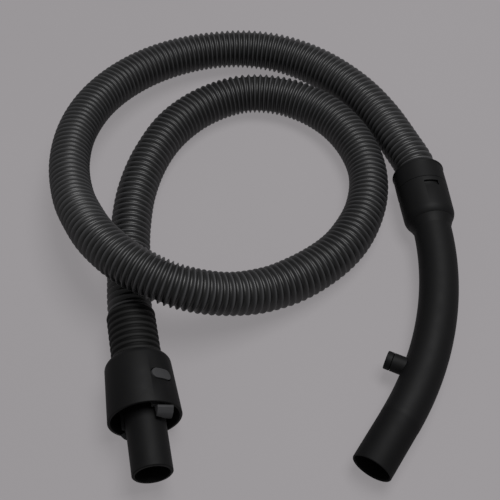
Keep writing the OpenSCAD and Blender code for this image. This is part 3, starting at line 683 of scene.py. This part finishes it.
bpy.ops.object.select_all(action="DESELECT")
bpy.ops.mesh.primitive_circle_add(vertices=96, radius=TUBE_R * MM, location=(0, 0, TUBE_START * MM))
tube = bpy.context.object
tube.name = tube.data.name = "tube_bent"
bpy.ops.object.transform_apply(location=True, rotation=True, scale=True)
bpy.ops.object.mode_set(mode="EDIT")
bpy.ops.mesh.select_all(action="SELECT")
bpy.ops.mesh.extrude_edges_move(TRANSFORM_OT_translate={"value": (0, 0, (SOCKET_LEN - TUBE_START) * MM)})
bpy.ops.transform.resize(
    value=(BEND_R / TUBE_R, BEND_R / TUBE_R, 1), center_override=(0, 0, SOCKET_LEN * MM))
bpy.ops.mesh.spin(
    steps=48, angle=math.radians(BEND_ANGLE), center=(-BEND_RADIUS * MM, 0, SOCKET_LEN * MM), axis=(0, 1, 0))
tube_end = on_bend(BEND_ANGLE)
end_way = tube_end.to_3x3() @ Vector((0, 0, 1))
for reach, width in END_STEPS:
    bpy.ops.mesh.extrude_edges_move(TRANSFORM_OT_translate={"value": end_way * reach * MM})
    tube_end = tube_end @ Matrix.Translation((0, 0, reach * MM))
    bpy.ops.transform.resize(value=(width, width, width), center_override=tube_end.to_translation())
bpy.ops.mesh.select_all(action="SELECT")
bpy.ops.mesh.remove_doubles(threshold=WELD)
bpy.ops.mesh.normals_make_consistent(inside=False)
bpy.ops.object.mode_set(mode="OBJECT")
wall = tube.modifiers.new("wall", "SOLIDIFY")
wall.thickness = TUBE_WALL * MM
wall.offset = -1
apply_all(tube)
print("tube:", len(tube.data.polygons), "faces, ends at", [round(x, 4) for x in tube_end.to_translation()])

# %% The tube's cone and its vent's boss
CONE_IN, CONE_WIDE, CONE_SLIM = 16.2, 20.45, 16.9
CONE_START, CONE_END = SOCKET_LEN + 0.05, SOCKET_LEN + 8.7
BOSS_R, BOSS_FOOT, BOSS_TOP, BOSS_EDGE = 8, 14.6, 26.95, 0.3
POCKET_R, POCKET_FLOOR = 5.5, 18.75
STEM_R, STEM_HOLE = 1.8, 1.9
VENT_ANGLE = 30

cone = turned("cone", [
    (CONE_IN, CONE_START), (CONE_WIDE, CONE_START), (CONE_SLIM, CONE_END), (CONE_IN, CONE_END)])
carve(tube, cone, "UNION")
boss = turned("boss", [
    (STEM_HOLE, BOSS_FOOT), (BOSS_R, BOSS_FOOT), (BOSS_R, BOSS_TOP - BOSS_EDGE), (BOSS_R - BOSS_EDGE, BOSS_TOP),
    (POCKET_R, BOSS_TOP), (POCKET_R, POCKET_FLOOR), (STEM_HOLE, POCKET_FLOOR)], 72)
outwards = on_bend(VENT_ANGLE) @ Matrix.Rotation(math.radians(-90), 4, "Y")
settle(boss, outwards)
carve(tube, boss, "UNION")
choose(tube)
bpy.ops.object.shade_smooth_by_angle(angle=SMOOTH_CRISP)
settle(tube, handle_seat)
hand_over(tube, "handle_tube", "handle", "black_plastic")

# %% [markdown]
# ## Vent knob
# On the inside of the bend sits a short stub with a cap that turns to let air in. It could be built from
# cylinders, but one outline, turned with its stem, also gives the round edge and the dished end. Four
# small air holes are then drilled through it.

# %% Vent knob
CAP_BASE, CAP_TOP, CAP_ROUND = 27.25, 32.65, 1
STEM_FOOT = 12.95
DISH = [(6.2, CAP_TOP), (5.6, CAP_TOP - 0.35), (2, CAP_TOP - 0.45)]
AIR_HOLES, AIR_HOLE_R, AIR_HOLE_AT = 4, 0.6, 3.5

knob_outline = [
    (STEM_R, STEM_FOOT), (STEM_R, CAP_BASE), (BOSS_R - BOSS_EDGE, CAP_BASE), (BOSS_R, CAP_BASE + BOSS_EDGE)]
knob_outline += arc(BOSS_R - CAP_ROUND, CAP_TOP - CAP_ROUND, CAP_ROUND, 0, 90, 6) + DISH
knob = turned("knob_capped", knob_outline, 72, ring=False)
for k in range(AIR_HOLES):
    drill = turned("drill", [(AIR_HOLE_R, CAP_BASE - 1), (AIR_HOLE_R, CAP_TOP + 1)], 20, ring=False)
    turn = Matrix.Rotation(math.radians(360 / AIR_HOLES * k), 4, "Z")
    settle(drill, turn @ Matrix.Translation((AIR_HOLE_AT * MM, 0, 0)))
    carve(knob, drill)
choose(knob)
bpy.ops.object.shade_smooth_by_angle(angle=SMOOTH_CRISP)
settle(knob, handle_seat @ outwards)
hand_over(knob, "vent_knob", "vent", "black_plastic")

# %% [markdown]
# ## Finishes
# Nearly everything here is moulded plastic or rubber, so the finishes differ in colour, gloss and grain.
# A picture could give the grain, but a noise pattern in the plastic's own size needs none: it bumps the
# surface a little and makes the gloss uneven, as mould texture and handling do. Colours are the ones
# that show in plain soft light.

# %% A moulded finish


def moulded(name, colour, gloss, grain, depth, uneven=0.08):
    """A plastic or rubber with a fine moulded grain. Grain is in grains a metre."""
    material = bpy.data.materials.new(name)
    material.use_nodes = True
    nodes, links = material.node_tree.nodes, material.node_tree.links
    shader = nodes["Principled BSDF"]
    place = nodes.new("ShaderNodeTexCoord")
    fine = nodes.new("ShaderNodeTexNoise")
    fine.inputs["Scale"].default_value = grain
    fine.inputs["Detail"].default_value = 3
    links.new(place.outputs["Object"], fine.inputs["Vector"])
    bump = nodes.new("ShaderNodeBump")
    bump.inputs["Strength"].default_value = 0.35
    bump.inputs["Distance"].default_value = depth
    links.new(fine.outputs["Fac"], bump.inputs["Height"])
    links.new(bump.outputs["Normal"], shader.inputs["Normal"])
    broad = nodes.new("ShaderNodeTexNoise")
    broad.inputs["Scale"].default_value = grain / 30
    broad.inputs["Detail"].default_value = 4
    links.new(place.outputs["Object"], broad.inputs["Vector"])
    rough = nodes.new("ShaderNodeMapRange")
    rough.inputs["To Min"].default_value = gloss - uneven
    rough.inputs["To Max"].default_value = gloss + uneven
    links.new(broad.outputs["Fac"], rough.inputs["Value"])
    links.new(rough.outputs["Result"], shader.inputs["Roughness"])
    tint = nodes.new("ShaderNodeMix")
    tint.name = "tint"
    tint.data_type = "RGBA"
    tint.inputs["A"].default_value = (*[c * 0.85 for c in colour], 1)
    tint.inputs["B"].default_value = (*[c * 1.15 for c in colour], 1)
    links.new(broad.outputs["Fac"], tint.inputs["Factor"])
    links.new(tint.outputs["Result"], shader.inputs["Base Color"])
    return material


# %% Steel and ribbed finishes


def steel(name, colour, gloss):
    """Drawn spring steel, with faint scratches."""
    material = moulded(name, colour, gloss, 2500, 0.00001)
    material.node_tree.nodes["Principled BSDF"].inputs["Metallic"].default_value = 1
    return material


def ribbed(name, colour, shade_colour, gloss, grain, depth):
    """A moulded vinyl or rubber with shade painted into the grooves between its ribs."""
    material = moulded(name, colour, gloss, grain, depth)
    nodes, links = material.node_tree.nodes, material.node_tree.links
    height = nodes.new("ShaderNodeAttribute")
    height.attribute_name = "rib_height"
    # Painted shade: the base colour runs from the near black of the groove at height 0 to the finish's own colour
    # on the crest.
    groove_shading = nodes.new("ShaderNodeMix")
    groove_shading.data_type = "RGBA"
    groove_shading.inputs["A"].default_value = (*shade_colour, 1)
    links.new(height.outputs["Fac"], groove_shading.inputs["Factor"])
    links.new(nodes["tint"].outputs["Result"], groove_shading.inputs["B"])
    links.new(groove_shading.outputs["Result"], nodes["Principled BSDF"].inputs["Base Color"])
    return material


# %% Finishes on the pieces
# The near black that is painted into the grooves as their shade.
PAINTED_GROOVE_SHADE = (0.0005, 0.0005, 0.0005)
DULL = 0.15
finishes = {
    "hose_vinyl": ribbed("hose_vinyl", (0.041, 0.041, 0.043), PAINTED_GROOVE_SHADE, 0.45, 900, 0.00002),
    "black_plastic": moulded("black_plastic", (0.0042, 0.0042, 0.0045), 0.6, 2600, 0.00003),
    "cuff_rubber": ribbed("cuff_rubber", (0.0105, 0.0105, 0.0105), PAINTED_GROOVE_SHADE, 0.6, 1800, 0.00003),
    "grey_plastic": moulded("grey_plastic", (0.038, 0.038, 0.04), 0.6, 2600, 0.00003),
    "seal_rubber": moulded("seal_rubber", (0.006, 0.006, 0.006), 0.6, 1800, 0.00002),
    "spring_steel": steel("spring_steel", (0.55, 0.55, 0.57), 0.3)}
for slot in ("black_plastic", "cuff_rubber", "grey_plastic", "seal_rubber"):
    finishes[slot].node_tree.nodes["Principled BSDF"].inputs["Specular IOR Level"].default_value = DULL
hose_mesh.materials.append(finishes["hose_vinyl"])
for entry in frame["record"]["subparts"]:
    node = frame["nodes"][entry["node"]]
    node.data.materials.clear()
    node.data.materials.append(finishes[entry["material_slot"]])
for piece, slot in pieces.items():
    piece.data.materials.clear()
    piece.data.materials.append(finishes[slot])
print("finishes:", ", ".join(finishes))

# %% [markdown]
# ## Floor and light
# A plain pale table, a large soft lamp overhead and an even sky around give the broad highlights on
# the ribs. The table is mixed from paint and a glow in the same colour, which only the camera and
# mirrored rays see: it keeps the table even and its shadows soft, and throws no light on the hose.

# %% Floor
FLOOR_COLOUR = (0.325, 0.31, 0.32)
FLOOR_SIZE = 8
bpy.ops.object.select_all(action="DESELECT")
bpy.ops.mesh.primitive_plane_add(size=FLOOR_SIZE, location=(0, 0, 0))
floor = bpy.context.object
floor.name = "floor"
paint = moulded("floor_paint", FLOOR_COLOUR, 0.8, 60, 0.00001, 0.02)
floor.data.materials.append(paint)
print("floor:", FLOOR_SIZE, "m wide")

# %% The floor's glow
FLOOR_GLOW = 0.75

nodes, links = paint.node_tree.nodes, paint.node_tree.links
glow = nodes.new("ShaderNodeEmission")
glow.inputs["Color"].default_value = (*FLOOR_COLOUR, 1)
rays = nodes.new("ShaderNodeLightPath")
mirrored, seen, share = [nodes.new("ShaderNodeMath") for _ in range(3)]
mirrored.operation = seen.operation = "MAXIMUM"
share.operation = "MULTIPLY"
links.new(rays.outputs["Is Glossy Ray"], mirrored.inputs[0])
links.new(rays.outputs["Is Transmission Ray"], mirrored.inputs[1])
links.new(rays.outputs["Is Camera Ray"], seen.inputs[0])
links.new(mirrored.outputs["Value"], seen.inputs[1])
links.new(seen.outputs["Value"], share.inputs[0])
share.inputs[1].default_value = FLOOR_GLOW
lit = nodes.new("ShaderNodeMixShader")
links.new(share.outputs["Value"], lit.inputs["Fac"])
links.new(nodes["Principled BSDF"].outputs["BSDF"], lit.inputs[1])
links.new(glow.outputs["Emission"], lit.inputs[2])
links.new(lit.outputs["Shader"], nodes["Material Output"].inputs["Surface"])
print("floor glows by", FLOOR_GLOW)

# %% Sky and lamp
SKY_STRENGTH = 0.2
LAMP_SIZE, LAMP_WATTS = (1.1, 0.8), 30
LAMP_PLACE, LAMP_AIM = Vector((0.35, 0.3, 1.75)), Vector((0, 0.1, 0))

world = bpy.data.worlds.new("world")
bpy.context.scene.world = world
world.use_nodes = True
world.node_tree.nodes["Background"].inputs["Color"].default_value = (1, 1, 1, 1)
world.node_tree.nodes["Background"].inputs["Strength"].default_value = SKY_STRENGTH

lamp_data = bpy.data.lights.new("softbox", "AREA")
lamp_data.shape = "RECTANGLE"
lamp_data.size, lamp_data.size_y = LAMP_SIZE
lamp_data.energy = LAMP_WATTS
lamp = bpy.data.objects.new("softbox", lamp_data)
lamp.location = LAMP_PLACE
lamp.rotation_euler = (LAMP_AIM - LAMP_PLACE).to_track_quat("-Z", "Y").to_euler()
bpy.context.scene.collection.objects.link(lamp)
bpy.context.scene.view_settings.view_transform = "Standard"
print("sky and softbox ready")

# %% [markdown]
# ## End

# %% End of the scene
print("scene built")
